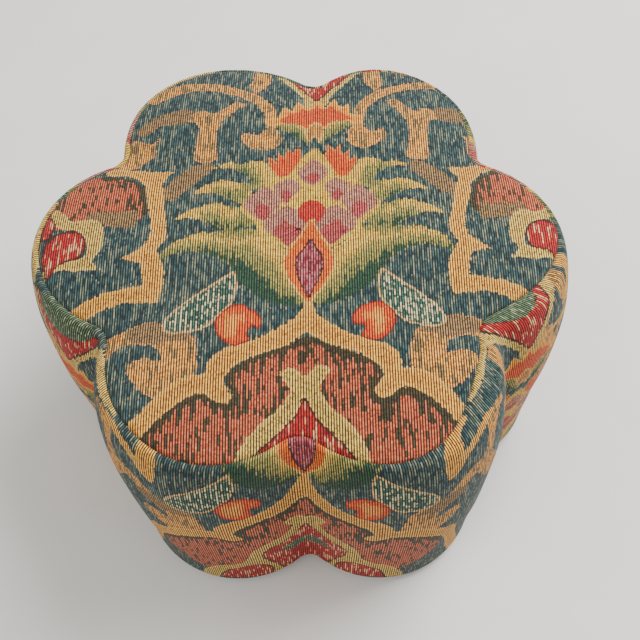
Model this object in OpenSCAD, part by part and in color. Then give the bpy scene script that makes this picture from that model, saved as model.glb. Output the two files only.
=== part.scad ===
// A low upholstered footstool with six round lobes, in millimetres. The origin is on the floor, under the middle.
// A plywood and hardboard box carries a foam pad and wadding, and a tapestry cover is stapled under it.

/* [Plan of the cover] */
// Distance from the middle to the centre of each lobe
lobe_centre_r = 102.5; // [100:0.5:105]
// Radius of a lobe along the top seam
seam_lobe_r = 67; // [65:0.5:69]
// Radius of the crease between two lobes along the top seam
seam_notch_r = 16; // [13:0.5:19]
// Radius of the crease between two lobes on the fullest line of the band
band_notch_r = 12; // [10:0.5:15]

/* [Height and form of the cover] */
// Height of the side band, from its lower edge to the top seam
band_height = 192; // [180:1:215]
// How far the band stands out beyond the seam on its fullest line
belly = 11; // [9:0.5:14]
// Height of the fullest line above the lower edge
belly_height = 126; // [110:1:140]
// How far the band's lower edge stands out beyond the seam
lower_flare = 4; // [3:0.5:7]
// Rise of the top panel's middle above the seam
crown = 11; // [6:1:16]
// Distance in from the seam over which the top panel rises
crown_reach = 75; // [60:5:100]
// Thickness of the tapestry cloth
cloth_t = 1.2; // [0.8:0.1:1.6]
// Width of the hem that is turned under the base
hem_w = 26; // [24:1:32]

/* [Padding] */
// Thickness of the foam pad at its edge
foam_t = 50; // [35:1:60]
// Thickness of the wadding over the foam
wadding_t = 8; // [6:1:11]
// Room between two soft layers
layer_gap = 0.3; // [0.2:0.05:0.35]

/* [Box] */
// How far the wall panels stand in from the seam
wall_inset = 3; // [2:0.5:5]
// Radius of the wall's crease between two lobes
box_notch_r = 12; // [10:0.5:13]
// Thickness of the plywood boards
board_t = 12; // [9:1:18]
// Thickness of the bent hardboard wall panels
wall_t = 3; // [2:0.5:4]
// Room between the wall panels and what they wrap
fit_gap = 0.2; // [0.1:0.05:0.3]
// Side of a square post
post_w = 38; // [32:1:44]
// Rounding of a post's corners
post_round = 2; // [1:0.5:4]
// Width of a notch batten
batten_w = 34; // [30:1:38]
// Depth of a notch batten
batten_d = 24; // [20:1:28]
// How far a batten's edges reach round the wall's crease
batten_wrap = 5; // [3:1:7]

/* [Screws] */
// Length of a screw with its countersunk head
screw_l = 40; // [30:1:50]
// Diameter of a screw's shank
screw_d = 4; // [3:0.5:5]
// Diameter of a screw's head
screw_head_d = 8; // [7:0.5:10]
// Distance between the two screws at a post's end
screw_pitch = 18; // [14:1:22]
// Room round a screw or a nail in its hole
bore_gap = 0.05; // [0.03:0.01:0.1]

/* [Staples] */
// Width of a staple's crown
staple_w = 10; // [8:0.5:12]
// Length of a staple's legs
staple_leg = 8; // [6:0.5:8.5]
// Thickness of the staple wire
staple_wire = 0.7; // [0.5:0.1:0.9]
// Room round a staple in its slot
staple_gap = 0.1; // [0.05:0.01:0.15]
// Inset of the hem's staples from the cover's lower edge
hem_staple_inset = 15; // [14:0.5:16]
// Inset of the dust cover's staples from the cover's lower edge
dust_staple_inset = 21; // [20:0.5:22]

/* [Dust cover] */
// Thickness of the dust cover
dust_t = 0.5; // [0.4:0.1:0.8]
// Inset of the dust cover's edge from the cover's lower edge
dust_inset = 10; // [8:0.5:12]

/* [Glides] */
// Height of a glide
glide_h = 8; // [6:0.5:12]
// Diameter of a glide
glide_d = 26; // [20:1:30]
// Rounding of a glide's lower edge
glide_round = 2.5; // [1:0.5:3]
// Room between a glide and the hem's inner edge
glide_room = 6.5; // [3:0.5:10]
// Diameter of a glide's nail
nail_d = 3; // [2.5:0.5:4]
// Depth that a nail goes into the base board
nail_grip = 8; // [6:0.5:8.5]
// Diameter of a nail's head, which is moulded into the glide
nail_head_d = 8; // [7:0.5:10]
// Thickness of a nail's head
nail_head_t = 1.2; // [1:0.1:1.5]
// Nylon left under a nail's head
nail_floor = 3; // [2:0.5:3.5]

/* [Hidden] */
LOBES = 6;
step = 360 / LOBES;
half = step / 2;
$fn = 64;

// Heights above the floor
board_z = glide_h + dust_t;
hem_z = board_z - cloth_t;
seam_z = hem_z + band_height;
belly_z = hem_z + belly_height;
base_top_z = board_z + board_t;

// Where the shoulder between the seam and the fullest line is cut into facets, as angles of its quarter ellipse
shoulder = [0, 22, 45, 70, 90];
// Directions of the plan's points, from the middle of a lobe to the crease, closer together near the crease
fan = [0, 6, 12, 18, 23, 27];
plan = [for (k = [0:LOBES - 1]) each [
    for (i = [0:len(fan) - 1]) k * step + fan[i],
    k * step + half,
    for (i = [len(fan) - 1:-1:1]) (k + 1) * step - fan[i]
]];
// Shares of the top panel's width at which its crown is cut into facets
crown_rings = [1, 0.94, 0.86, 0.74, 0.55, 0.3];

// What lies between the cover's face and the padding, and under the wadding
under_cloth = cloth_t + layer_gap;
under_wadding = under_cloth + wadding_t + layer_gap;
foam_edge_z = shoulder_point(shoulder[1]).y - under_wadding;
top_board_z = foam_edge_z - foam_t - board_t;
post_h = top_board_z - base_top_z;
wall_h = top_board_z + board_t - board_z;
// Radius of a lobe of the box over its wall panels, and of the boards inside them
box_lobe_r = seam_lobe_r - wall_inset;
board_lobe_r = box_lobe_r - wall_t - fit_gap;
board_notch_r = box_notch_r + wall_t + fit_gap;
// Radius of a lobe along the cover's lower edge, and a glide's distance from the middle
lower_lobe_r = seam_lobe_r + lower_flare;
glide_centre_r = lobe_centre_r + lower_lobe_r - hem_w - glide_room - glide_d / 2;
// Place of a notch batten: the wall's crease, and the batten's front and middle
crease_d = notch_distance(lobe_centre_r, box_lobe_r, box_notch_r);
batten_front = crease_d - box_notch_r - wall_t + batten_wrap;
batten_screw_r = batten_front - batten_d * 2 / 3;
// Directions of the staples round a lobe's own centre
hem_staple_turns = [-60, -30, 0, 30, 60];
dust_staple_turns = [-45, -15, 15, 45];
wall_staple_turns = [-75, -25, 25, 75];
// A staple on a round wall is driven in until its straight crown's ends are flush
wall_staple_sink = box_lobe_r - sqrt(pow(box_lobe_r, 2) - pow(staple_w / 2, 2)) + staple_gap;
// How far a crease's arc laps over a lobe's arc in a flat outline
arc_lap = 0.02;

// Distance from the middle to the centre of a crease's arc, which touches the lobes on both sides
function notch_distance(centre_r, lobe_r, notch_r) =
    centre_r * cos(half) + sqrt(pow(lobe_r + notch_r, 2) - pow(centre_r * sin(half), 2));

// Distance from the middle to the outline in direction a
function outline(a, centre_r, lobe_r, notch_r) =
    let (
        off = abs((a + half) % step - half),
        d = notch_distance(centre_r, lobe_r, notch_r),
        lobe = [centre_r, 0],
        crease = d * [cos(half), sin(half)],
        touch = lobe + (crease - lobe) * lobe_r / (lobe_r + notch_r)
    )
    off < atan2(touch.y, touch.x)
        ? centre_r * cos(off) + sqrt(pow(lobe_r, 2) - pow(centre_r * sin(off), 2))
        : d * cos(half - off) - sqrt(pow(notch_r, 2) - pow(d * sin(half - off), 2));

// How far the facets of a ring lie inside the true round of its lobes
function facet_sag(lobe_r, notch_r) = max([
    for (i = [1:len(fan) - 1])
        let (
            ends = [for (a = [fan[i - 1], fan[i]]) outline(a, lobe_centre_r, lobe_r, notch_r) * [cos(a), sin(a)]],
            middle = (ends[0] + ends[1]) / 2
        )
        lobe_r - norm(middle - [lobe_centre_r, 0])
]);

// One level ring of points. p is [how far outside the seam's outline, height, radius of the creases]
function ring(p) = [
    for (a = plan)
        let (r = outline(a, lobe_centre_r, seam_lobe_r + p.x, p.z))
        [r * cos(a), r * sin(a), p.y]
];

// A point of the cover's shoulder, at an angle of its quarter ellipse
function shoulder_point(t) = [
    belly * sin(t),
    belly_z + (seam_z - belly_z) * cos(t),
    seam_notch_r + (band_notch_r - seam_notch_r) * sin(t)
];
// The way out of the shoulder there, in the vertical plane
function shoulder_normal(t) =
    let (n = [sin(t) / belly, cos(t) / (seam_z - belly_z)]) n / norm(n);
// The same point, depth below the cover's face
function under_shoulder(t, depth) =
    let (p = shoulder_point(t), n = shoulder_normal(t))
    [p.x - depth * n.x, p.y - depth * n.y, p.z + depth * n.x];
// A point of the band below its fullest line, at a share of that height, depth inside its face
function under_belly(share, depth) = [
    lower_flare + (belly - lower_flare) * pow(sin(90 * share), 2) - depth,
    hem_z + belly_height * share,
    band_notch_r + depth
];

// The band's face from its first shoulder facet down to the lower edge, depth inside it
function band_face(depth, first = 0) = [
    for (i = [first:len(shoulder) - 1]) ring(under_shoulder(shoulder[i], depth)),
    ring(under_belly(0.5, depth))
];
// The crowned top from the seam, or a later ring, to near its middle, depth below it
function crown_face(depth, first = 0) = [
    for (i = [first:len(crown_rings) - 1]) let (s = crown_rings[i]) [
        for (a = plan)
            let (r = outline(a, lobe_centre_r, seam_lobe_r, seam_notch_r))
            [s * r * cos(a), s * r * sin(a), seam_z + crown_rise((1 - s) * r) - depth]
    ]
];
// Rise of the crown above the seam, at a distance in from it
function crown_rise(inset) = crown * (1 - pow(max(0, 1 - inset / crown_reach), 2));

// A closed skin over a stack of rings. Its ends meet each other, or each ends in a point over the middle
module skin(rings, top_point_z = undef, bottom_point_z = undef) {
    n = len(plan);
    m = len(rings);
    capped = top_point_z != undef;
    spans = capped ? m - 2 : m - 1;
    points = [
        for (r = rings) each r,
        if (capped) each [[0, 0, top_point_z], [0, 0, bottom_point_z]]
    ];
    faces = [
        for (j = [0:spans]) for (i = [0:n - 1])
            let (a = j * n + i, b = j * n + (i + 1) % n, c = (j + 1) % m * n + i, d = (j + 1) % m * n + (i + 1) % n)
            each [[a, b, d], [a, d, c]],
        if (capped) for (i = [0:n - 1]) each [
            [m * n, (i + 1) % n, i],
            [m * n + 1, (m - 1) * n + i, (m - 1) * n + (i + 1) % n]
        ]
    ];
    polyhedron(points, faces);
}

function reversed(list) = [for (i = [len(list) - 1:-1:0]) list[i]];

// The box's flat outline, with true arcs that cross by a hair where they would touch
module outline_2d(lobe_r, notch_r) {
    d = notch_distance(lobe_centre_r, lobe_r, notch_r);
    difference() {
        union() {
            polygon([for (k = [0:LOBES - 1]) each [
                lobe_centre_r * [cos(k * step), sin(k * step)],
                d * [cos(k * step + half), sin(k * step + half)]
            ]]);
            at_lobes() circle(lobe_r);
        }
        at_notches(d) circle(notch_r + arc_lap);
    }
}

module at_lobes(r = lobe_centre_r) {
    for (k = [0:LOBES - 1]) rotate(k * step) translate([r, 0, 0]) children();
}

module at_notches(r) {
    for (k = [0:LOBES - 1]) rotate(k * step + half) translate([r, 0, 0]) children();
}

// Cover

module top_panel() {
    color("teal")
        skin(
            concat(reversed(crown_face(0)), crown_face(cloth_t)),
            seam_z + crown,
            seam_z + crown - cloth_t
        );
}

// The hem turns under at the lower edge and lies flat under the base board
module side_band() {
    edge = under_belly(0, 0);
    inner_edge = under_belly(0, cloth_t);
    hem_end = [lower_flare - hem_w, hem_z, band_notch_r + hem_w];
    color("steelblue") difference() {
        skin(concat(
            band_face(0),
            [ring(edge), ring(hem_end)],
            [ring(hem_end + [0, cloth_t, 0]), ring(inner_edge + [0, cloth_t, 0])],
            reversed(band_face(cloth_t))
        ));
        at_hem_staples() staple(staple_gap);
    }
}

// Padding

module top_wadding() {
    edge = under_shoulder(shoulder[1], under_cloth) + [-layer_gap, 0, layer_gap];
    foam_edge = [-wall_inset, foam_edge_z + layer_gap, box_notch_r];
    color("whitesmoke")
        skin(
            concat(
                reversed(crown_face(under_cloth)),
                [ring(edge), ring(foam_edge)],
                crown_face(under_cloth + wadding_t, 1)
            ),
            seam_z + crown - under_cloth,
            seam_z + crown - under_cloth - wadding_t
        );
}

// It fills the room between the wall and the band, and meets the top wadding on a bevel
module side_wadding() {
    inside = layer_gap - wall_inset + facet_sag(box_lobe_r, box_notch_r);
    color("ivory")
        skin(concat(
            band_face(under_cloth, 1),
            [
                ring(under_belly(0, under_cloth) + [0, cloth_t, 0]),
                ring([inside, board_z, box_notch_r - layer_gap]),
                ring([inside, foam_edge_z, box_notch_r - layer_gap])
            ]
        ));
}

module foam_pad() {
    edge = [-wall_inset, foam_edge_z, box_notch_r];
    color("lemonchiffon")
        skin(
            concat(
                reversed(crown_face(under_wadding, 1)),
                [ring(edge), ring(edge - [0, foam_t, 0])]
            ),
            seam_z + crown - under_wadding,
            foam_edge_z - foam_t
        );
}

// Box

module board(z) {
    translate([0, 0, z]) linear_extrude(board_t) outline_2d(board_lobe_r, board_notch_r);
}

module top_board() {
    color("burlywood") difference() {
        board(top_board_z);
        at_top_screws() screw(bore_gap);
        at_wall_staples(top_board_z) staple(staple_gap);
    }
}

module base_board() {
    color("tan") difference() {
        board(board_z);
        at_base_screws() screw(bore_gap);
        at_wall_staples(board_z) staple(staple_gap);
        at_hem_staples() staple(staple_gap);
        at_dust_staples() staple(staple_gap);
        at_glides() nail(bore_gap);
    }
}

module post(k) {
    color("peru") difference() {
        rotate(k * step) translate([lobe_centre_r, 0, base_top_z]) linear_extrude(post_h) rounded_square(post_w, post_round);
        at_top_screws() screw(bore_gap);
        at_base_screws() screw(bore_gap);
    }
}

module rounded_square(side, round_r) {
    inner = side - 2 * round_r;
    square([inner, side], center = true);
    square([side, inner], center = true);
    for (x = [-1, 1], y = [-1, 1]) translate([x, y] * inner / 2) circle(round_r);
}

// A batten's front is hollowed to hold the crease of the wall
module notch_batten(k) {
    color("sienna") difference() {
        rotate(k * step + half) translate([batten_front - batten_d, -batten_w / 2, base_top_z]) cube([batten_d, batten_w, post_h]);
        rotate(k * step + half) translate([crease_d, 0, 0]) cylinder(r = board_notch_r, h = seam_z);
        at_top_screws() screw(bore_gap);
        at_base_screws() screw(bore_gap);
    }
}

// One bent panel goes round a lobe, from crease to crease
module wall_panel(k) {
    reach = lobe_centre_r + 2 * box_lobe_r;
    color("saddlebrown") difference() {
        translate([0, 0, board_z]) linear_extrude(wall_h) rotate(k * step) intersection() {
            difference() {
                outline_2d(box_lobe_r, box_notch_r);
                outline_2d(box_lobe_r - wall_t, box_notch_r + wall_t);
            }
            translate([fit_gap, 0]) polygon([
                [0, 0],
                reach * [cos(half), -sin(half)],
                [2 * reach, 0],
                reach * [cos(half), sin(half)]
            ]);
        }
        at_wall_staples(board_z) staple(staple_gap);
        at_wall_staples(top_board_z) staple(staple_gap);
    }
}

// Screws

// A countersunk wood screw that hangs from its head's flat face
module screw(gap = 0) {
    head_h = (screw_head_d - screw_d) / 2;
    tip_h = screw_d;
    translate([0, 0, -head_h]) cylinder(d1 = screw_d + 2 * gap, d2 = screw_head_d + 2 * gap, h = head_h + gap / 10);
    translate([0, 0, tip_h - screw_l]) cylinder(d = screw_d + 2 * gap, h = screw_l - tip_h);
    translate([0, 0, -screw_l - gap]) cylinder(d1 = screw_d / 4 + 2 * gap, d2 = screw_d + 2 * gap, h = tip_h + gap);
}

module at_board_screws() {
    for (y = [-1, 1]) at_lobes() translate([0, y * screw_pitch / 2, 0]) children();
    at_notches(batten_screw_r) children();
}

module at_top_screws() {
    translate([0, 0, top_board_z + board_t]) at_board_screws() children();
}

module at_base_screws() {
    translate([0, 0, board_z]) mirror([0, 0, 1]) at_board_screws() children();
}

module top_board_screws() {
    color("goldenrod") at_top_screws() screw();
}

module base_board_screws() {
    color("goldenrod") at_base_screws() screw();
}

// Staples

// A staple with its crown's outer face on the ground plane and its legs pointing up
module staple(gap = 0) {
    wire = staple_wire + 2 * gap;
    for (x = [-1, 1]) translate([x * (staple_w - staple_wire) / 2 - wire / 2, -wire / 2, 0]) cube([wire, wire, staple_leg + gap]);
    translate([-staple_w / 2 - gap, -wire / 2, 0]) cube([staple_w + 2 * gap, wire, staple_wire + gap]);
}

// Staples lie along a lobe's edge, at an inset from the cover's lower edge
module at_lobe_edge(turns, inset) {
    at_lobes() for (t = turns) rotate(t) translate([lower_lobe_r - inset, 0, 0]) rotate(90) children();
}

module at_hem_staples() {
    translate([0, 0, hem_z]) at_lobe_edge(hem_staple_turns, hem_staple_inset) children();
}

module at_dust_staples() {
    translate([0, 0, hem_z - dust_t - staple_wire]) at_lobe_edge(dust_staple_turns, dust_staple_inset) children();
}

module at_wall_staples(z) {
    translate([0, 0, z + board_t / 2]) at_lobes() for (t = wall_staple_turns)
        rotate(t) translate([box_lobe_r - wall_staple_sink, 0, 0]) rotate([90, 0, 0]) rotate([0, -90, 0]) children();
}

module wall_staples() {
    color("silver") {
        at_wall_staples(board_z) staple();
        at_wall_staples(top_board_z) staple();
    }
}

module hem_staples() {
    color("silver") at_hem_staples() staple();
}

module dust_cover_staples() {
    color("silver") at_dust_staples() staple();
}

// Underside

// The dust cover lies on the board and steps down over the hem's inner edge
module dust_cover() {
    hem_lobe_r = lower_lobe_r - hem_w;
    hem_notch_r = band_notch_r + hem_w;
    step_in = fit_gap + facet_sag(hem_lobe_r, hem_notch_r);
    step_lobe_r = hem_lobe_r - step_in;
    step_notch_r = hem_notch_r + step_in;
    edge_lobe_r = lower_lobe_r - dust_inset;
    edge_notch_r = band_notch_r + dust_inset;
    step_h = board_z - hem_z;
    color("dimgray") difference() {
        translate([0, 0, hem_z - dust_t]) {
            linear_extrude(dust_t) outline_2d(edge_lobe_r, edge_notch_r);
            linear_extrude(step_h + dust_t) outline_2d(step_lobe_r, step_notch_r);
        }
        translate([0, 0, hem_z - 2 * dust_t]) linear_extrude(step_h + dust_t) outline_2d(step_lobe_r - dust_t, step_notch_r + dust_t);
        at_dust_staples() staple(staple_gap);
        at_glides() nail(bore_gap);
    }
}

module at_glides() {
    at_lobes(glide_centre_r) children();
}

module glide(k) {
    r = glide_d / 2;
    color("black") difference() {
        rotate(k * step) translate([glide_centre_r, 0, 0]) rotate_extrude() {
            square([r - glide_round, glide_h]);
            translate([0, glide_round]) square([r, glide_h - glide_round]);
            intersection() {
                translate([r - glide_round, glide_round]) circle(glide_round);
                square([r, glide_h]);
            }
        }
        at_glides() nail(bore_gap);
    }
}

// A glide's nail has its head moulded into the nylon and its point in the base board
module nail(gap = 0) {
    tip_h = nail_d;
    top = board_z + nail_grip;
    translate([0, 0, nail_floor - gap]) cylinder(d = nail_head_d + 2 * gap, h = nail_head_t + 2 * gap);
    translate([0, 0, nail_floor]) cylinder(d = nail_d + 2 * gap, h = top - tip_h - nail_floor);
    translate([0, 0, top - tip_h]) cylinder(d1 = nail_d + 2 * gap, d2 = nail_d / 4 + 2 * gap, h = tip_h + gap);
}

module glide_nails() {
    color("gainsboro") at_glides() nail();
}

top_panel();
side_band();
top_wadding();
side_wadding();
foam_pad();
top_board();
base_board();
post(0);  // post_1
post(1);  // post_2
post(2);  // post_3
post(3);  // post_4
post(4);  // post_5
post(5);  // post_6
notch_batten(0);  // notch_batten_1
notch_batten(1);  // notch_batten_2
notch_batten(2);  // notch_batten_3
notch_batten(3);  // notch_batten_4
notch_batten(4);  // notch_batten_5
notch_batten(5);  // notch_batten_6
wall_panel(0);  // wall_panel_1
wall_panel(1);  // wall_panel_2
wall_panel(2);  // wall_panel_3
wall_panel(3);  // wall_panel_4
wall_panel(4);  // wall_panel_5
wall_panel(5);  // wall_panel_6
top_board_screws();
base_board_screws();
wall_staples();
hem_staples();
dust_cover();
dust_cover_staples();
glide(0);  // glide_1
glide(1);  // glide_2
glide(2);  // glide_3
glide(3);  // glide_4
glide(4);  // glide_5
glide(5);  // glide_6
glide_nails();
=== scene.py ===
import math

import bmesh
import bpy
import numpy as np
from mathutils import Matrix


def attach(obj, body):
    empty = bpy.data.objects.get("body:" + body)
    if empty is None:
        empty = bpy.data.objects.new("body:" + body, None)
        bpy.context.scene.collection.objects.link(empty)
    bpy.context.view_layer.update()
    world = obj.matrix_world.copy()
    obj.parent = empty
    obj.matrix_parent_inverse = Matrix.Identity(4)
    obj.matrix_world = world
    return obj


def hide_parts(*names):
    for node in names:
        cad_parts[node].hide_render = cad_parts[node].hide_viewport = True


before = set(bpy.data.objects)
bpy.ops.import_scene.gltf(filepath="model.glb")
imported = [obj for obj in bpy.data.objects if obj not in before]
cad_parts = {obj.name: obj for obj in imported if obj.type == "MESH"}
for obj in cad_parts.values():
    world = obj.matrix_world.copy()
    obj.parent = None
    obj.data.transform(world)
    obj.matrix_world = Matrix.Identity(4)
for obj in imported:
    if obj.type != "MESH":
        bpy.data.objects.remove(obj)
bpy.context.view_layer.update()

# Camera
# It looks down over the front edge of the stool, from a person's eye above a low table.
eye = (0.0032, -0.3633, 0.6942)
turn, dip, roll = 0.014, 1.016, 0.007
camera = bpy.data.objects.new("camera", bpy.data.cameras.new("camera"))
camera.data.sensor_width = 36
camera.data.lens = 53.33
camera.matrix_world = (
    Matrix.Translation(eye)
    @ Matrix.Rotation(-turn, 4, "Z")
    @ Matrix.Rotation(math.pi / 2 - dip, 4, "X")
    @ Matrix.Rotation(roll, 4, "Z")
)
bpy.context.collection.objects.link(camera)
bpy.context.scene.camera = camera


# Floor and light
# A plain pale floor under a large soft lamp at the back right and a fainter one at the front left.
class Finish:
    """A procedural material. Its methods add nodes and return their outputs. A number or a colour can stand for one."""

    def __init__(self, name, roughness=0.8, metallic=0.0, sheen=0.0):
        self.slot = name
        self.material = bpy.data.materials.new(name + "_finish")
        self.material.use_nodes = True
        self.tree = self.material.node_tree
        self.surface = self.tree.nodes["Principled BSDF"]
        self.surface.inputs["Roughness"].default_value = roughness
        self.surface.inputs["Metallic"].default_value = metallic
        self.surface.inputs["Sheen Weight"].default_value = sheen

    def put(self, value, socket):
        if isinstance(value, bpy.types.NodeSocket):
            self.tree.links.new(value, socket)
        elif isinstance(value, tuple) and len(value) == 3 and socket.type == "RGBA":
            socket.default_value = [(c / 255) ** 2.2 for c in value] + [1]
        else:
            socket.default_value = value

    def node(self, kind, inputs, output=0, **settings):
        made = self.tree.nodes.new("ShaderNode" + kind)
        for name, value in settings.items():
            setattr(made, name, value)
        for name, value in inputs.items():
            self.put(value, made.inputs[name])
        return made.outputs[output]

    def calc(self, operation, *values):
        return self.node("Math", dict(enumerate(values)), operation=operation)

    def ramp(self, value, low, high, soft=False):
        """0 where value is low, 1 where it is high."""
        kind = "SMOOTHSTEP" if soft else "LINEAR"
        return self.node("MapRange", {0: value, 1: low, 2: high}, interpolation_type=kind)

    def mix(self, share, first, second, blend="MIX"):
        return self.node("Mix", {0: share, 6: first, 7: second}, output=2, data_type="RGBA", blend_type=blend)

    def noise(self, place, scale, detail=2.0, roughness=0.5):
        return self.node("TexNoise", {"Vector": place, "Scale": scale, "Detail": detail, "Roughness": roughness})

    def place(self, stretch=(1, 1, 1), turn=(0, 0, 0)):
        """Where a point is in the row frame, in metres, stretched along the axes."""
        own = self.node("TexCoord", {}, output=3)
        return self.node("Mapping", {"Vector": own, "Rotation": turn, "Scale": stretch}, vector_type="POINT")

    def colour(self, value):
        self.put(value, self.surface.inputs["Base Color"])

    def relief(self, height, depth):
        bump = self.node("Bump", {"Height": height, "Distance": depth, "Strength": 1.0})
        self.put(bump, self.surface.inputs["Normal"])


floor_finish = Finish("floor_paper", roughness=0.85)
speckle = floor_finish.noise(floor_finish.place(), 18, detail=4)
floor_finish.colour(floor_finish.mix(speckle, (214, 212, 208), (221, 220, 217)))
floor_mesh = bpy.data.meshes.new("floor")
floor_mesh.from_pydata([(-4, -4, 0), (4, -4, 0), (4, 4, 0), (-4, 4, 0)], [], [(0, 1, 2, 3)])
floor_mesh.materials.append(floor_finish.material)
floor = bpy.data.objects.new("floor", floor_mesh)
bpy.context.collection.objects.link(floor)

world = bpy.data.worlds.new("studio")
world.use_nodes = True
world.node_tree.nodes["Background"].inputs[0].default_value = (1.0, 0.98, 0.94, 1)
world.node_tree.nodes["Background"].inputs[1].default_value = 0.72
bpy.context.scene.world = world
for name, spot, size, watts in (
    ("window_light", (0.9, 0.6, 1.6), 1.2, 64),
    ("fill_light", (-1.1, -0.8, 1.4), 1.4, 15),
):
    lamp = bpy.data.objects.new(name, bpy.data.lights.new(name, "AREA"))
    lamp.data.size = size
    lamp.data.energy = watts
    aim = Matrix.Translation(spot).to_translation()
    lamp.matrix_world = Matrix.Translation(spot) @ (-aim).to_track_quat("-Z", "Y").to_matrix().to_4x4()
    bpy.context.collection.objects.link(lamp)


# Cover, its shape
# The cover is one tapestry cloth in two pieces, a six-lobed top and a band round the sides, sewn along the top edge.
# Pulled down over the padding, the band is fullest at two thirds of its height, sinks into a crease between each pair
# of lobes, and turns under the base.
LOBE_CENTRE = 102.5
SEAM_LOBE, SEAM_CREASE, BAND_CREASE = 67.0, 16.0, 12.0
HEM_Z, BAND_H, BELLY_H = 7.3, 192.0, 126.0
BELLY, LOWER_FLARE = 11.0, 4.0
CROWN, CROWN_REACH = 11.0, 75.0
CLOTH, HEM_W, HEM_ROUND = 1.2, 26.0, 3.0
SEAM_Z, BELLY_Z = HEM_Z + BAND_H, HEM_Z + BELLY_H
# The pulled cover leans a little to the back left, but its back crease was pulled to the right.
LEAN, BACK_PULL = (-5.4, 3.5), 10.0
COLUMNS = 504


def outline(angle, lobe, crease):
    """Distance from the middle to a six-lobed outline, in millimetres."""
    off = np.abs((angle + math.pi / 6) % (math.pi / 3) - math.pi / 6)
    half = math.pi / 6
    gap = LOBE_CENTRE * math.cos(half) + np.sqrt((lobe + crease) ** 2 - (LOBE_CENTRE / 2) ** 2)
    share = lobe / (lobe + crease)
    touch_x = LOBE_CENTRE + (gap * math.cos(half) - LOBE_CENTRE) * share
    touch_y = gap * math.sin(half) * share
    round_part = LOBE_CENTRE * np.cos(off) + np.sqrt(np.maximum(lobe**2 - (LOBE_CENTRE * np.sin(off)) ** 2, 0))
    hollow = gap * np.cos(half - off) - np.sqrt(np.maximum(crease**2 - (gap * np.sin(half - off)) ** 2, 0))
    return np.where(off < np.arctan2(touch_y, touch_x), round_part, hollow)


def shoulder_edge(angle):
    """Distance from the middle to the shoulder's edge, where the top meets the side."""
    return outline(angle, SEAM_LOBE, SEAM_CREASE)


def back_pull(x, y):
    """How far to the right a point is pulled, most of all at the back crease."""
    return BACK_PULL * np.exp(-((np.arctan2(x, y) / 0.32) ** 2)) * np.clip(np.hypot(x, y) / 138, 0, 1) ** 3


def leaned(x, y, z):
    lift = np.clip((z - HEM_Z) / BAND_H, 0, 1.1) ** 1.5
    return np.stack([x + (LEAN[0] + back_pull(x, y)) * lift, y + LEAN[1] * lift, z], axis=-1)


def top_surface(angle, share, depth=0.0):
    """A point of the top's face, or depth under it, at a share of the way from the middle to the shoulder's edge."""
    edge = shoulder_edge(angle)
    inset = (1 - share) * edge
    rise = CROWN * (1 - np.maximum(0, 1 - inset / CROWN_REACH) ** 2)
    r = share * edge
    return leaned(r * np.cos(angle), r * np.sin(angle), SEAM_Z + rise - depth)


def band_profile(fall):
    """How far the band stands out, its height and its crease's radius, at a distance fall below the shoulder's edge."""
    steps = np.linspace(0, math.pi / 2, 200)
    shoulder = np.stack([
        BELLY * np.sin(steps),
        BELLY_Z + (SEAM_Z - BELLY_Z) * np.cos(steps),
        SEAM_CREASE + (BAND_CREASE - SEAM_CREASE) * np.sin(steps),
    ])
    steps = np.linspace(1, 0, 200)[1:]
    side = np.stack([
        LOWER_FLARE + (BELLY - LOWER_FLARE) * np.sin(math.pi / 2 * steps) ** 2,
        HEM_Z + BELLY_H * steps,
        np.full(199, BAND_CREASE),
    ])
    side = side[:, side[1] > HEM_Z + HEM_ROUND]
    # A small round turns the cloth under, and the hem lies flat.
    turns = np.linspace(0, math.pi / 2, 12)[1:]
    under = np.stack([
        LOWER_FLARE - HEM_ROUND + HEM_ROUND * np.cos(turns),
        HEM_Z + HEM_ROUND - HEM_ROUND * np.sin(turns),
        BAND_CREASE + HEM_ROUND - HEM_ROUND * np.cos(turns),
    ])
    flat = np.stack([[LOWER_FLARE - HEM_W], [HEM_Z], [BAND_CREASE + HEM_W]])
    line = np.hstack([shoulder, side, under, flat])
    run = np.r_[0, np.cumsum(np.hypot(*np.diff(line[:2])))]
    return [np.interp(fall, run, v) for v in line], run[-1]


def fall_to(z):
    """How far below the shoulder's edge the band first comes down to a height."""
    steps = np.linspace(0, 230, 4000)
    (_, heights, _), _ = band_profile(steps)
    return float(steps[np.argmax(heights <= z)])


def band_surface(angle, fall):
    """A point of the band, at a distance fall below the shoulder's edge, or inside that edge where fall is below 0."""
    (out, z, crease), _ = band_profile(fall)
    r = outline(angle, SEAM_LOBE + out, crease)
    below = leaned(r * np.cos(angle), r * np.sin(angle), z)
    within = top_surface(angle, 1 + np.minimum(fall, 0) / shoulder_edge(angle))
    return np.where(fall[..., None] < 0, within, below)


def seam_inset(angle):
    """How far the seam lies inside the shoulder's edge. The top was cut small, most of all at its right front."""
    turn = (np.degrees(angle) + 180) % 360 - 180
    directions = [-180, -165, -152, -142, -125, -110, -70, -60, -50, -43, -34, -28, -21, -13, 2, 165, 180]
    insets = [1, 1.5, 0, 3, 3, 0, 0, 4, 13, 15, 9, 8, 12, 8, 0, 0, 1]
    return sum(np.interp(turn + shift, directions, insets) for shift in (-4, -2, 0, 2, 4)) / 5


# Angles run round from the back crease, where the band's two ends meet.
angles = math.pi / 2 + np.linspace(0, 2 * math.pi, COLUMNS + 1)
shares = np.linspace(0, 1, 84)
band_length = band_profile(0)[1]
around, down = np.meshgrid(angles, shares)
down = down * (1 - seam_inset(around) / shoulder_edge(around))
top_points = top_surface(around, down)
around_band, fall_share = np.meshgrid(angles, np.linspace(0, 1, 106))
fall_band = fall_share * (band_length + seam_inset(around_band)) - seam_inset(around_band)
band_points = band_surface(around_band, fall_band)


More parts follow.
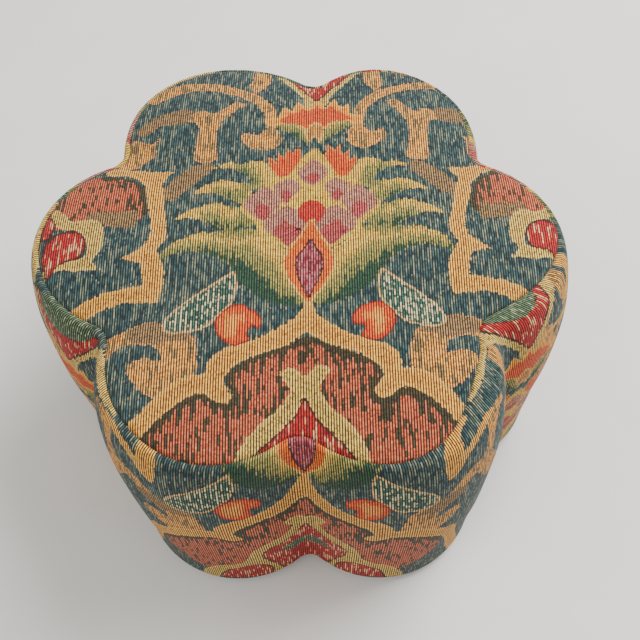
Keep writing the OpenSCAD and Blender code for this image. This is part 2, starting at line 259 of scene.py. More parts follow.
def face_normals(points):
    """The way out of the cloth at each point of a ring of cloth whose last column meets its first."""
    ring = points[:, :-1]
    across = np.roll(ring, -1, 1) - np.roll(ring, 1, 1)
    normal = np.cross(np.gradient(ring, axis=0), across)
    size = np.linalg.norm(normal, axis=2, keepdims=True)
    normal = np.where(size > 1e-6, normal / (size + 1e-12), [0, 0, 1])
    return np.concatenate([normal, normal[:, :1]], 1)


# Padding pushes the cloth out between the seam, the creases and the stapled hem. A coarse copy of the cover is blown
# up as cloth, held at those lines, and its swelling is carried to the fine mesh.
BLOW_STEPS, HELD_BELOW = 20, 185


def puff(points, held, limit, name):
    """How far each point of a grid of cloth moves out when it is blown up, in millimetres and at most limit."""
    rows, columns = points.shape[:2]
    mesh = bpy.data.meshes.new(name)
    number = np.arange(rows * columns).reshape(rows, columns)
    beside = np.roll(number, -1, 1)
    faces = np.stack([number[:-1], number[1:], beside[1:], beside[:-1]], -1).reshape(-1, 4)
    mesh.from_pydata((points.reshape(-1, 3) / 1000).tolist(), [], faces.tolist())
    piece = bpy.data.objects.new(name, mesh)
    bpy.context.collection.objects.link(piece)
    group = piece.vertex_groups.new(name="held")
    for index, weight in enumerate(held.ravel()):
        if weight > 0:
            group.add([index], float(weight), "REPLACE")
    cloth = piece.modifiers.new("cloth", "CLOTH")
    cloth.settings.quality = 6
    cloth.settings.mass = 0.4
    cloth.settings.tension_stiffness = cloth.settings.compression_stiffness = 25
    cloth.settings.bending_stiffness = 2
    cloth.settings.use_pressure = True
    cloth.settings.uniform_pressure_force = 4
    cloth.settings.vertex_group_mass = "held"
    cloth.settings.effector_weights.gravity = 0
    cloth.collision_settings.use_collision = False
    cloth.point_cache.frame_start, cloth.point_cache.frame_end = 1, BLOW_STEPS
    for step in range(BLOW_STEPS):
        bpy.context.scene.frame_set(step + 1)
    graph = bpy.context.evaluated_depsgraph_get()
    blown = piece.evaluated_get(graph).data
    moved = np.empty(len(blown.vertices) * 3)
    blown.vertices.foreach_get("co", moved)
    bpy.context.scene.frame_set(1)
    bpy.data.objects.remove(piece)
    bpy.data.meshes.remove(mesh)
    shift = moved.reshape(rows, columns, 3) * 1000 - points
    size = np.linalg.norm(shift, axis=2, keepdims=True)
    return shift * np.minimum(1, limit / (size + 1e-9))


def spread(values, rows, columns):
    """A coarse grid's values at the places of a finer one with the same edges."""
    at = np.linspace(0, len(values) - 1, rows)
    low = np.minimum(at.astype(int), len(values) - 2)
    part = (at - low)[:, None, None]
    values = values[low] * (1 - part) + values[low + 1] * part
    at = np.linspace(0, values.shape[1] - 1, columns)
    low = np.minimum(at.astype(int), values.shape[1] - 2)
    part = (at - low)[None, :, None]
    return values[:, low] * (1 - part) + values[:, low + 1] * part


coarse = math.pi / 2 + np.linspace(0, 2 * math.pi, 169)[:-1]
from_crease = (coarse % (math.pi / 3)) - math.pi / 6
crease_hold = np.exp(-((from_crease / 0.06) ** 2))
coarse_around, coarse_share = np.meshgrid(coarse, np.linspace(0.012, 1, 28))
hold = np.where(coarse_share > 0.99, 1.0, 0.15 * crease_hold)
coarse_down = coarse_share * (1 - seam_inset(coarse_around) / shoulder_edge(coarse_around))
swell = puff(top_surface(coarse_around, coarse_down), hold, 1.5, "top_blown")
swell = np.concatenate([swell, swell[:, :1]], 1)
top_points += spread(swell, *top_points.shape[:2])
coarse_around, coarse_share = np.meshgrid(coarse, np.linspace(0, 1, 36))
coarse_fall = coarse_share * (band_length + seam_inset(coarse_around)) - seam_inset(coarse_around)
hold = np.maximum((coarse_fall > HELD_BELOW) | (coarse_share < 0.005), 0.9 * crease_hold * np.ones_like(coarse_fall))
swell = puff(band_surface(coarse_around, coarse_fall), hold, 3.0, "band_blown")
swell = np.concatenate([swell, swell[:, :1]], 1)
band_points += spread(swell, *band_points.shape[:2])

# The seam draws both pieces of cloth in and puckers them a little, and the padding is never quite even.
PUCKER, DRAWN_IN = 0.12, 1.1
LUMPS = ((0.45, 5, 31, 0.4), (0.35, 11, 23, 2.1), (0.25, 17, 15, 4.4))
turn_round = np.linspace(0, 2 * math.pi, COLUMNS + 1)[None]
from_seam = (1 - down) * shoulder_edge(around) - seam_inset(around)
for points, distance in ((top_points, from_seam), (band_points, fall_band + seam_inset(around_band))):
    pucker = PUCKER * np.sin(97 * turn_round + 2 * np.sin(11 * turn_round)) * np.exp(-distance / 7)
    uneven = sum(
        size * np.sin(waves * turn_round + phase) * np.cos(distance / length + 2 * phase)
        for size, waves, length, phase in LUMPS
    )
    uneven *= np.clip(distance / 30, 0, 1) * np.clip((160 - distance) / 20, 0, 1)
    dent = DRAWN_IN * np.exp(-((distance / 1.9) ** 2))
    points += face_normals(points) * (pucker + uneven - dent)[..., None]


# Cover, its pattern
# The tapestry is woven in a traditional palmette design: a fan of scales and fronds over a red diamond, framed by straw
# ribbons, with rust fields, crimson kites, leaves and scrolls on a teal ground. Each shape is drawn in millimetres on
# the right of the pattern's axis, and mirrored. A place is right,up and one with ! is a sharp corner.
MOTIFS = {
    "rust": [
        (
            "0,-78! 12,-84 28,-90 42,-98 46,-104 42,-114 46,-118 56,-113 66,-114 86,-128 96,-138! 99,-158 97,-174 "
            "86,-186 70,-196 40,-200 0,-200"
        ),
    ],
    "side_rust": ["104,20! 107,32 110,41 118,49 128,54 148,56 164,40 172,22 160,12 136,10 118,10 108,14"],
    "brown": [
        "92,27! 86,29 80,36 74,43 68,49 65,55 71,58 80,55 88,49 94,42 98,33",
        "84,109 92,111 104,110 116,104 122,97 119,92 112,93 104,98 94,97 88,98",
    ],
    "side_brown": [
        "112,7! 122,8 134,12 142,14 142,22 130,22 120,21 110,20",
        "107,-67! 101,-65 91,-64 84,-66 78,-70 69,-74! 70,-78 80,-78 85,-80 92,-78 101,-76 105,-74",
    ],
    "low_brown": ["107,-71! 101,-69 91,-68 84,-71 78,-75 70,-78! 72,-82 80,-83 85,-85 92,-83 101,-81 105,-78"],
    "tan": [
        (
            "22,79 24,72 30,68 37,68 44,72 49,78 49,83 45,85 40,82 36,85 33,89 34,98 36,106 43,115 53,122 66,128 "
            "82,132 100,129 112,122! 118,128 110,137 96,142 78,140 62,135 46,127 34,118 28,108 26,98 25,88"
        ),
        "48,114! 56,106 61,99 64,93 66,84 65,72 63,60! 77,60 79,72 78,86 80,95 87,100 84,106 76,108 70,104 64,108 56,116",
        "33,158! 33,147 34,138 38,131 42,126! 46,131 48,134 46,141 45,150 46,158!",
        "104,86 110,83 117,86 124,90! 130,64 118,62! 110,68 106,74 107,80",
    ],
    "side_tan": [
        (
            "124,-71! 114,-68 104,-65 90,-64 78,-70 70,-73 65,-79 63,-88 62,-99! 70,-106 82,-115! 88,-113 96,-107 "
            "100,-101 104,-95 102,-89! 95,-88 88,-90 84,-91! 85,-85 90,-80 98,-78 106,-77 113,-79 117,-85! 124,-79!"
        ),
    ],
    "low_tan": [
        (
            "128,-62! 117,-54 106,-56 100,-60 92,-68 78,-73 70,-76 66,-82 64,-91 62,-102! 72,-112 82,-117! 88,-115 "
            "96,-110 100,-104 104,-98 102,-93! 95,-92 88,-94 84,-95! 86,-88 92,-84 98,-80 106,-70 112,-66 118,-74 "
            "124,-84 132,-94! 142,-84! 136,-72"
        ),
        "152,-14! 140,-16 128,-20! 124,-30! 124,-40 122,-50 119,-58! 129,-60! 131,-50 134,-40 142,-34 152,-36!",
    ],
    "side_straw": [
        (
            "136,64 118,60 108,57 101,55 91,54! 97,45 96,35 94,24 92,12 90,2 92,-8 95,-12! 93,-16 89,-26 88,-36 89,-44 "
            "91,-50! 101,-48 115,-48 128,-52 142,-59 151,-54! 140,-46 124,-40 110,-38 101,-37! 102,-28 104,-21 "
            "117,-17! 106,-11 101,-3 101,11 104,22 106,33 108,40 114,49 124,55 136,57"
        ),
    ],
    "low_straw": [
        (
            "136,64 118,60 108,57 101,55 91,54! 97,45 96,35 94,24 92,12 90,2 92,-8 95,-12! 93,-16 89,-26 88,-36 89,-46 "
            "91,-51! 97,-47 105,-37 117,-31 130,-28 152,-27! 152,-22 130,-23 117,-26 107,-29 101,-34! 102,-28 104,-21 "
            "117,-17! 106,-11 101,-3 101,11 104,22 106,33 108,40 114,49 124,55 136,57"
        ),
    ],
    "straw": [
        (
            "0,-52! 3,-57 4,-61 8,-66 16,-72 31,-80 47,-85 54,-90 57,-95 57,-101! 62,-101 70,-102 79,-108 87,-115 "
            "94,-123 104,-130 109,-146 118,-180 131,-222! 120,-222! 108,-184 101,-156 95,-140! 86,-130 77,-122 68,-116 "
            "61,-113 56,-114 51,-118 45,-120 40,-116! 43,-112 46,-107 45,-102 42,-98 36,-94 28,-90 20,-87 12,-84 6,-80 "
            "0,-76!"
        ),
    ],
    "calyx": [
        (
            "0,-104! 4,-101 9,-98 15,-101! 12,-106 9,-111 11,-117 16,-124 24,-131 31,-139 37,-149 40,-160 44,-172 "
            "50,-178 62,-184 71,-196 76,-210 77,-224! 66,-224! 64,-212 58,-196 49,-188 38,-183 30,-187 26,-196 24,-212 "
            "14,-216! 18,-200 24,-184 29,-172 30,-160 27,-150 18,-141 11,-134 5,-127 0,-116!"
        ),
        "0,116! 7,112 9,121 14,129 19,136 26,145 38,160! 31,162! 20,145 13,136 8,130 4,125 0,119!",
    ],
    "side_calyx": [
        (
            "166,32! 158,24 152,17 140,17 133,12 130,4 130,-8 134,-16 128,-23! 146,-22 158,-20 170,-30! 170,-22! "
            "158,-12 146,-14 140,-12 141,0 148,8 158,12 170,20!"
        ),
    ],
    "crimson": [
        "0,-117! 6,-128 17,-140 27,-150 31,-160 29,-174 24,-186 18,-202 14,-214! 0,-214",
        "38,-184 47,-187 56,-194 61,-204 63,-214! 26,-212! 26,-198 30,-189",
        "0,119! 5,126 10,133 17,142 24,152 31,167! 25,165 19,157 10,152 0,150",
    ],
    "right_calyx": ["30,152! 37,157 46,160 60,161 76,162 84,163! 86,170 66,170 51,168 40,166 33,163!"],
    "left_calyx": ["34,164! 42,172 58,176 84,176 99,175! 99,169 84,169 66,169 50,168 39,162!"],
    "side_crimson": [
        "144,-13! 141,-4 145,5 153,9 162,7 168,0! 168,-10 162,-25! 156,-15",
        "168,24! 164,14 168,6 172,6! 172,24!",
    ],
    "sprig": ["0,150! 10,152 19,157 25,165! 18,174 0,178!"],
    "low_sprig": ["0,-149! 6,-148 12,-151 18,-160 12,-166 5,-167 0,-162!"],
    "flower": [
        (
            "0,119! 3,115 7,110! 10,115 13,119! 15,113 17,108! 20,109 22,112! 24,106 25,101 33,99! 33,91 27,91 22,93 "
            "16,95 11,92 7,87 4,87 0,93!"
        ),
    ],
    "blush": ["0,114! 3,109 6,107! 10,111! 13,106 15,104! 18,106! 20,101 26,97! 20,94 13,94 9,91 6,88! 3,91 0,95!"],
    "bud": ["0,94! 4,91 6,86 6,80 3,73! 2,76 0,79!"],
    "tuft": ["8,64! 10,71! 14,65! 18,70! 19,61! 24,66! 24,57! 30,61! 26,48 20,42 13,48 8,57"],
    "frond": [
        "27,91! 22,93 16,95 11,92 7,87 6,80 4,73! 8,76 13,81 19,86 25,89",
        (
            "0,68! 6,62 12,54 17,48 22,45 28,52 32,57 38,58 44,57 48,54! 54,57 60,55 64,53! 56,53 48,50 41,44 38,37! "
            "30,30 14,34 0,40!"
        ),
        "42,20! 38,36 44,39 51,39 58,42 65,40 71,37 77,32! 66,33 58,30 50,25",
        "32,6! 42,14 46,19 53,20 58,23 65,22 72,20 80,16 86,11! 76,12 66,9 59,4 50,1 40,3",
        (
            "0,-54! 10,-20 20,-12 32,0 44,2 56,1 62,-1 68,0 76,-3 84,-7 90,-13 92,-20! 84,-16 74,-14 64,-16 56,-20 "
            "48,-27 43,-36 35,-45 23,-53 8,-57"
        ),
    ],
    "shade": [
        "27,89! 19,84 13,79 8,74 4,70! 6,75 10,80 16,85",
        "38,37! 41,44 48,50 43,47 39,42",
        "42,20! 50,25 58,30 52,29 46,26",
        "34,6! 40,3 50,1 59,4 66,9 59,8 50,5 42,6",
        (
            "4,-57! 14,-50 22,-41 32,-31 44,-21 56,-15 66,-13 80,-14 92,-20! 74,-17 64,-19 56,-23 48,-30 44,-40 36,-50 "
            "24,-58 8,-62"
        ),
    ],
    "net": ["0,66! 5,60 10,54 14,46 20,42 28,38 32,34 40,24 45,20 40,12 34,6 32,0 26,-6 18,-12 10,-16 0,4!"],
    "scale": [
        "0,59! 6,53 10,47 6,40 0,36!",
        "15,42! 21,39 25,36 22,28 16,21! 12,28 8,36",
        "30,36! 37,30 43,22 38,14 30,7! 25,14 20,22 24,30",
        "16,19! 23,14 29,6 27,-1 20,-6 14,-13! 7,-4 3,6 8,14",
    ],
    "heart": [
        "0,47! 3,45 5,43 3,39 0,37!",
        "16,32! 19,31 20,28 18,24 16,21! 14,25 13,29",
        "31,22! 35,20 36,15 33,11 30,7! 27,12 26,17",
        "17,8! 21,3 24,-1 20,-6 14,-13! 8,-7 6,0 11,3",
    ],
    "seed": ["0,24! 5,22 9,16 7,8 0,2!"],
    "diamond": ["0,6! 5,-4 9,-11 13,-18 15,-25 13,-34 9,-42 5,-48 0,-55!"],
    "violet": ["0,-8! 4,-15 8,-22 8,-30 6,-38 3,-46 0,-52!"],
    "leaf": ["46,-31! 56,-39 67,-47 77,-55 83,-62 85,-69 80,-73 70,-73 60,-70 51,-61 45,-53 43,-42"],
    "curl": ["28,-72! 28,-65 34,-59 41,-56 49,-59 54,-67 52,-75 47,-81 41,-83 33,-80! 35,-75 33,-71"],
}


def drawn(text, steps=5):
    """Points along the smooth closed curve through the places in text."""
    words = text.split()
    p = np.array([[float(v) for v in word.rstrip("!").split(",")] for word in words])
    sharp = np.array([word.endswith("!") for word in words])
    q = np.roll(p, -1, 0)
    way = q - np.roll(p, 1, 0)
    way /= np.linalg.norm(way, axis=1)[:, None] + 1e-9
    way[sharp] = 0
    span = np.linalg.norm(q - p, axis=1)[:, None]
    leave, arrive = (way * span)[:, None], (np.roll(way, -1, 0) * span)[:, None]
    t = np.linspace(0, 1, steps, endpoint=False)[None, :, None]
    start, end = p[:, None], q[:, None]
    curve = (2 * t**3 - 3 * t**2 + 1) * start + (t**3 - 2 * t**2 + t) * leave
    curve = curve + (3 * t**2 - 2 * t**3) * end + (t**3 - t**2) * arrive
    return curve.reshape(-1, 2)


def inside_by(points, shape, reach):
    """Each point's distance to a closed shape, less than 0 inside it, and at most reach."""
    result = np.full(len(points), reach)
    near = np.all((points > shape.min(0) - reach) & (points < shape.max(0) + reach), axis=1)
    p = points[near][:, None]
    if not len(p):
        return result
    a, b = shape[None], np.roll(shape, -1, 0)[None]
    edge = b - a
    along = np.clip(((p - a) * edge).sum(2) / ((edge**2).sum(2) + 1e-9), 0, 1)
    gap = np.sqrt((((a + along[..., None] * edge) - p) ** 2).sum(2).min(1))
    level = (a[..., 1] > p[..., 1]) != (b[..., 1] > p[..., 1])
    cut = a[..., 0] + edge[..., 0] * (p[..., 1] - a[..., 1]) / np.where(edge[..., 1] == 0, 1e-9, edge[..., 1])
    inside = (level & (p[..., 0] < cut)).sum(1) % 2 == 1
    result[near] = np.minimum(np.where(inside, -gap, gap), reach)
    return result


REACH = 16.0
# A motif marked side is on the top only, low is on the band only, and right or left is on one strip of the band.
MARKS = {"top": ("", "side"), "front": ("", "low"), "right": ("", "low", "right"), "left": ("", "low", "left")}
# The design is woven a little askew, its left half is a little wider, and on the top it lies lower on the left.
HALVES = (0.985, -1.02)
AXIS_AT, ASKEW, TOP_TILT = 8, 0.035, 0.033


def pattern_at(cloth, column_places, part):
    """For each motif, the distance from points of cloth to its nearest shape, with the pattern put at each place."""
    found = {}
    for motif, texts in MOTIFS.items():
        mark, _, name = motif.rpartition("_")
        nearest = found.get(name, np.full(len(cloth), REACH))
        if mark in MARKS[part]:
            for text in texts:
                half = drawn(text)
                # A shape that touches the axis laps over it, and so meets its mirrored half.
                half[np.abs(half[:, 0]) < 0.01, 0] = -1.2
                for right, up in column_places:
                    for side in HALVES:
                        rise = TOP_TILT * side * half[:, 0] if part == "top" else 0
                        x = side * half[:, 0] + AXIS_AT + ASKEW * half[:, 1] + right
                        shape = np.stack([x, half[:, 1] + rise + up], 1)
                        nearest = np.minimum(nearest, inside_by(cloth, shape, REACH))
        found[name] = nearest
    return found


# Where each point lay in the flat cloth, in millimetres: the top is cut in one piece, and the band from strips whose
# pattern starts again past each front crease.
flat_top = (down * shoulder_edge(around))[..., None] * np.stack([np.cos(around), np.sin(around)], -1)
flat_top[..., 0] += back_pull(flat_top[..., 0], flat_top[..., 1])
fullest = outline(angles, SEAM_LOBE + BELLY * 0.6, 13.5)
fullest_xy = np.stack([fullest * np.cos(angles), fullest * np.sin(angles)], 1)
run_round = np.r_[0, np.cumsum(np.linalg.norm(np.diff(fullest_xy, axis=0), axis=1))]
run_round -= run_round[-1] / 2
flat_band = np.stack([np.broadcast_to(run_round, fall_band.shape), -fall_band], -1)

top_pattern = pattern_at(flat_top.reshape(-1, 2), [(0, 0)], "top")
band_cloth = flat_band.reshape(-1, 2)
# The front crease takes up cloth, so the pattern sits lower in it.
taken_up = np.interp(-band_cloth[:, 1], [33, 62, 95, 110], [0, 8, 15, 16.5])
taken_up *= np.exp(-((band_cloth[:, 0] / 28) ** 2))
band_cloth = band_cloth + np.stack([np.zeros(len(taken_up)), taken_up], 1)
# A joint lies 150 mm from the front crease along the band, and 28 mm nearer where the cloth runs in over the shoulder.
joint = 150 - 28 * np.clip((6 + band_cloth[:, 1]) / 8, 0, 1)
strips = (
    ("front", np.abs(band_cloth[:, 0]) <= joint, [(-4.5, 24)]),
    ("right", band_cloth[:, 0] > joint, [(196, -152), (353, -7), (353, -297), (510, -152)]),
    ("left", band_cloth[:, 0] < -joint, [(-229, -172), (-386, -27), (-386, -317), (-543, -172)]),
)
band_pattern = {}
for strip, part, places in strips:
    for name, values in pattern_at(band_cloth[part], places, strip).items():
        band_pattern.setdefault(name, np.full(len(band_cloth), REACH))[part] = values


# Cover, its cloth
# Thick ribbed tapestry: stout ribs about 1.6 mm apart run from front to back on the top and down the band. The coloured
# threads float over them, so every colour is streaked along the ribs and its edges step from rib to rib.
tapestry = Finish("tapestry", roughness=0.9, sheen=0.06)
tapestry.surface.inputs["Specular IOR Level"].default_value = 0.25
cloth_xy = tapestry.node("SeparateXYZ", {0: tapestry.node("UVMap", {}, uv_map="cloth")}).node
cloth_x = tapestry.calc("MULTIPLY", cloth_xy.outputs[0], 100)
cloth_y = tapestry.calc("MULTIPLY", cloth_xy.outputs[1], 100)
RIB = 1.58
TURN_AT = fall_to(HEM_Z + 1)
rib_place = tapestry.calc("DIVIDE", cloth_x, RIB)
rib = tapestry.calc("FLOOR", rib_place)
across_rib = tapestry.calc("PINGPONG", rib_place, 0.5)
over_rib = tapestry.ramp(across_rib, 0.08, 0.3, soft=True)
rib_random = tapestry.node("TexWhiteNoise", {"W": rib}, noise_dimensions="1D")


def streak(length, seed, detail=1.0):
    """Changes of thread along the ribs, each about length millimetres long. It runs from 0 to 1, mostly near 0.5."""
    along = tapestry.calc("ADD", tapestry.calc("DIVIDE", cloth_y, length), tapestry.calc("MULTIPLY", rib_random, 37))
    spot = tapestry.node("CombineXYZ", {0: tapestry.calc("MULTIPLY", rib, 5.37), 1: along, 2: float(seed)})
    return tapestry.noise(spot, 1.0, detail=detail)


fine, dashes, middle, long = streak(1.8, 3), streak(2.8, 7), streak(4.5, 11), streak(13, 23)
PICK = 0.95
pick_place = tapestry.calc("ADD", tapestry.calc("DIVIDE", cloth_y, PICK), tapestry.calc("MULTIPLY", rib_random, 3))
stitch = tapestry.node("CombineXYZ", {0: rib, 1: tapestry.calc("FLOOR", pick_place)})
stitch_random = tapestry.node("TexWhiteNoise", {"Vector": stitch}, noise_dimensions="2D")
step_out = tapestry.calc("MULTIPLY_ADD", middle, 4.0, -2.0)
step_out = tapestry.calc("ADD", step_out, tapestry.calc("MULTIPLY_ADD", stitch_random, 0.8, -0.4))


def distance_to(motif):
    """How far a thread lies outside a motif, in millimetres, and less than 0 inside it."""
    return tapestry.node("Attribute", {}, output=2, attribute_name=motif)


def depth_in(motif, steps=1.0):
    """How far inside a motif a thread lies, with the steps of the weave, which are smaller in the finer motifs."""
    return tapestry.calc("SUBTRACT", tapestry.calc("MULTIPLY", step_out, steps), distance_to(motif))


strand = tapestry.calc("MULTIPLY_ADD", across_rib, 0.6, tapestry.calc("MULTIPLY", fine, 0.7))


def threads(dark, light, share=strand):
    """Two shades of thread. The paler one lies mostly on a rib's back, and the darker one beside it."""
    return tapestry.mix(tapestry.ramp(share, 0.36, 0.64), dark, light)


def shaded(depth, *steps):
    """Colours that follow each other from a motif's edge inward, each given with the depth where it starts."""
    result = steps[0][1]
    for start, colour in steps[1:]:
        result = tapestry.mix(tapestry.ramp(depth, start - 0.8, start + 0.8), result, colour)
    return result


def lay(under, motif, colour, margin=0.0, steps=1.0):
    """A motif's colour laid over what is under it, from a depth of margin inward."""
    return tapestry.mix(tapestry.ramp(depth_in(motif, steps), margin - 0.25, margin + 0.25), under, colour)


# The ground is slate blue and green, with paler threads in dashes.
ground = threads((24, 54, 60), (72, 98, 98), middle)
ground = tapestry.mix(tapestry.ramp(long, 0.5, 0.62), ground, threads((80, 94, 84), (130, 136, 116)))
ground = tapestry.mix(tapestry.ramp(streak(6, 31, detail=2.0), 0.62, 0.71), ground, (146, 144, 124))

# Rust fields are streaked with dark olive, most of all next to their ribbon.
from_straw = distance_to("straw")
rust = threads((148, 68, 50), (208, 120, 92))
rust = tapestry.mix(tapestry.ramp(dashes, 0.64, 0.72), rust, (216, 144, 112))
near_ribbon = tapestry.ramp(from_straw, 15.9, 3.0)
beside_ribbon = tapestry.calc("MULTIPLY_ADD", near_ribbon, 0.5, tapestry.ramp(from_straw, 5.5, 1.5))
darkness = tapestry.calc("MULTIPLY_ADD", beside_ribbon, 0.2, long)
rust = tapestry.mix(tapestry.ramp(darkness, 0.585, 0.6), rust, threads((42, 42, 30), (84, 74, 52)))
pattern = lay(ground, "rust", rust)

# Scrolls are tan with brown stretches, and ribbons and calyxes are pale at their edges.
brown_stretches = threads((92, 84, 62), (150, 124, 84))
tan = tapestry.mix(tapestry.ramp(long, 0.53, 0.58), threads((146, 88, 42), (255, 184, 108)), brown_stretches)
pattern = lay(pattern, "tan", shaded(depth_in("tan"), (-1, (236, 166, 112)), (0.5, tan)))
pattern = lay(pattern, "brown", threads((80, 70, 52), (164, 132, 94)))
straw = shaded(
    depth_in("straw"),
    (0, (248, 188, 108)),
    (1.6, threads((164, 102, 44), (254, 188, 104))),
    (5.0, threads((154, 98, 48), (250, 180, 100))),
)
pattern = lay(pattern, "straw", straw)
calyx = shaded(depth_in("calyx"), (0, (242, 204, 124)), (1.4, threads((114, 94, 48), (240, 198, 114))))
pattern = lay(pattern, "calyx", calyx)

# Kites are crimson with pink stretches inside a dark line, and hold a grey-green sprig.
pink_stretches = threads((212, 116, 92), (246, 192, 148))
crimson = tapestry.mix(tapestry.ramp(long, 0.54, 0.6), threads((140, 32, 38), (198, 70, 70)), pink_stretches)
pattern = lay(pattern, "crimson", shaded(depth_in("crimson"), (-1, (52, 28, 26)), (0.3, crimson)), -0.9)
sprig = tapestry.mix(tapestry.ramp(middle, 0.52, 0.66), threads((62, 84, 66), (100, 118, 92)), (158, 168, 134))
pattern = lay(pattern, "sprig", sprig)

# Fronds go from cream at their upper edge, through olive, to dark green underneath.
lightness = tapestry.calc("ADD", distance_to("shade"), tapestry.calc("MULTIPLY_ADD", middle, 14.0, -7.5))
lightness = tapestry.calc("ADD", lightness, tapestry.calc("MULTIPLY_ADD", rib_random, 5.0, -2.5))
lightness = tapestry.calc("MAXIMUM", lightness, tapestry.calc("MULTIPLY_ADD", distance_to("net"), -0.9, 5.0))
dark_green, olive = threads((18, 50, 46), (52, 88, 66)), threads((96, 102, 58), (166, 156, 94))
frond = tapestry.mix(tapestry.ramp(lightness, -3.0, 0.5), dark_green, olive)
paleness = tapestry.calc("MULTIPLY", tapestry.ramp(lightness, 4.2, 8.0), tapestry.ramp(depth_in("frond"), 15.0, 8.5))
frond = tapestry.mix(paleness, frond, threads((180, 130, 58), (255, 210, 112)))
pattern = lay(pattern, "frond", frond, -0.5)
tuft = shaded(depth_in("tuft"), (0, (246, 160, 98)), (0.8, threads((190, 44, 34), (242, 114, 68))))
pattern = lay(pattern, "tuft", tuft)

# The flower over the fan is orange round a red blush, and its bud is brown.
flower = shaded(depth_in("flower"), (0, (255, 186, 102)), (1.8, threads((228, 116, 50), (255, 180, 92))))
pattern = lay(pattern, "flower", flower)
pattern = lay(pattern, "blush", threads((188, 54, 42), (236, 114, 74)))
bud = shaded(depth_in("bud"), (0, (246, 200, 128)), (1.2, threads((160, 98, 52), (216, 148, 86))))
pattern = lay(pattern, "bud", bud)

# The fan is a cream net of mauve scales with rose hearts, and the diamond under it is orange round a violet middle.
pattern = lay(pattern, "net", threads((176, 122, 44), (255, 212, 108)), -0.8)
pattern = lay(pattern, "scale", threads((136, 84, 80), (204, 148, 128)), -0.3, 0.4)
pattern = lay(pattern, "heart", threads((140, 54, 64), (202, 104, 100)), 0.0, 0.6)
pattern = lay(pattern, "seed", threads((172, 32, 38), (214, 84, 74)), 0.3, 0.4)
diamond = shaded(
    depth_in("diamond", 0.6),
    (-1.8, threads((226, 162, 84), (254, 214, 130))),
    (-0.4, threads((204, 64, 30), (250, 134, 68))),
)
pattern = lay(pattern, "diamond", diamond, -1.4, 0.6)
violet = shaded(depth_in("violet", 0.5), (-1, (66, 26, 34)), (0.8, threads((138, 52, 70), (208, 118, 122), middle)))
violet = tapestry.mix(tapestry.ramp(fine, 0.58, 0.66), violet, (158, 124, 122))
pattern = lay(pattern, "violet", violet, -0.5, 0.5)

# A leaf is dark, with pale dashes on every other rib, and a curl is red at its edge and orange inside.
hatch = tapestry.calc("ADD", middle, tapestry.calc("MULTIPLY", tapestry.calc("PINGPONG", rib, 1), 0.13))
pale_dashes = threads((150, 154, 124), (222, 208, 166))
leaf = tapestry.mix(tapestry.ramp(hatch, 0.56, 0.64), threads((16, 52, 50), (70, 106, 92)), pale_dashes)
pattern = lay(pattern, "leaf", shaded(depth_in("leaf", 0.5), (-1, (250, 196, 132)), (0.6, leaf)), -0.3, 0.5)
curl = shaded(
    tapestry.calc("ADD", depth_in("curl"), tapestry.calc("MULTIPLY_ADD", rib_random, 6, -3)),
    (-1, threads((204, 56, 34), (240, 106, 58))),
    (4.0, threads((230, 116, 58), (252, 166, 96))),
    (8.5, (248, 180, 108)),
)
pattern = lay(pattern, "curl", shaded(depth_in("curl"), (-1, (140, 30, 28)), (0.5, curl)), -0.4)

# A pale highlight is painted along the fold where the cloth turns under.
turn_line = tapestry.calc("ABSOLUTE", tapestry.calc("ADD", cloth_y, TURN_AT))
fold_highlight = tapestry.calc("MULTIPLY", tapestry.ramp(tapestry.calc("ADD", turn_line, middle), 2.6, 1.4), 0.7)
pattern = tapestry.mix(fold_highlight, pattern, (226, 204, 160))

# Between the ribs the cloth is in shade, their backs shine a little, and all of it is a little dusty.
valley = tapestry.mix(1.0, pattern, (64, 49, 38), "MULTIPLY")
pattern = tapestry.mix(over_rib, valley, pattern)
crest_light = tapestry.calc("MULTIPLY_ADD", fine, 1.8, -0.25)
crest = tapestry.calc("MULTIPLY", tapestry.ramp(across_rib, 0.3, 0.46, soft=True), crest_light)
pattern = tapestry.mix(crest, pattern, pattern, "SCREEN")
pattern = tapestry.node("Gamma", {"Color": pattern, "Gamma": 1.2})
pattern = tapestry.node("HueSaturation", {"Color": pattern, "Saturation": 1.06})
unevenness = tapestry.calc("MULTIPLY", tapestry.calc("ADD", stitch_random, rib_random), 0.2)
pattern = tapestry.mix(unevenness, pattern, (176, 164, 152), "MULTIPLY")
dust = tapestry.noise(tapestry.place(), 9, detail=3)
pattern = tapestry.mix(tapestry.calc("MULTIPLY", dust, 0.04), pattern, (178, 168, 150))
tapestry.colour(pattern)
weave_height = tapestry.calc("MULTIPLY_ADD", over_rib, 0.75, tapestry.calc("MULTIPLY", stitch_random, 0.25))
tapestry.relief(weave_height, 0.0005)


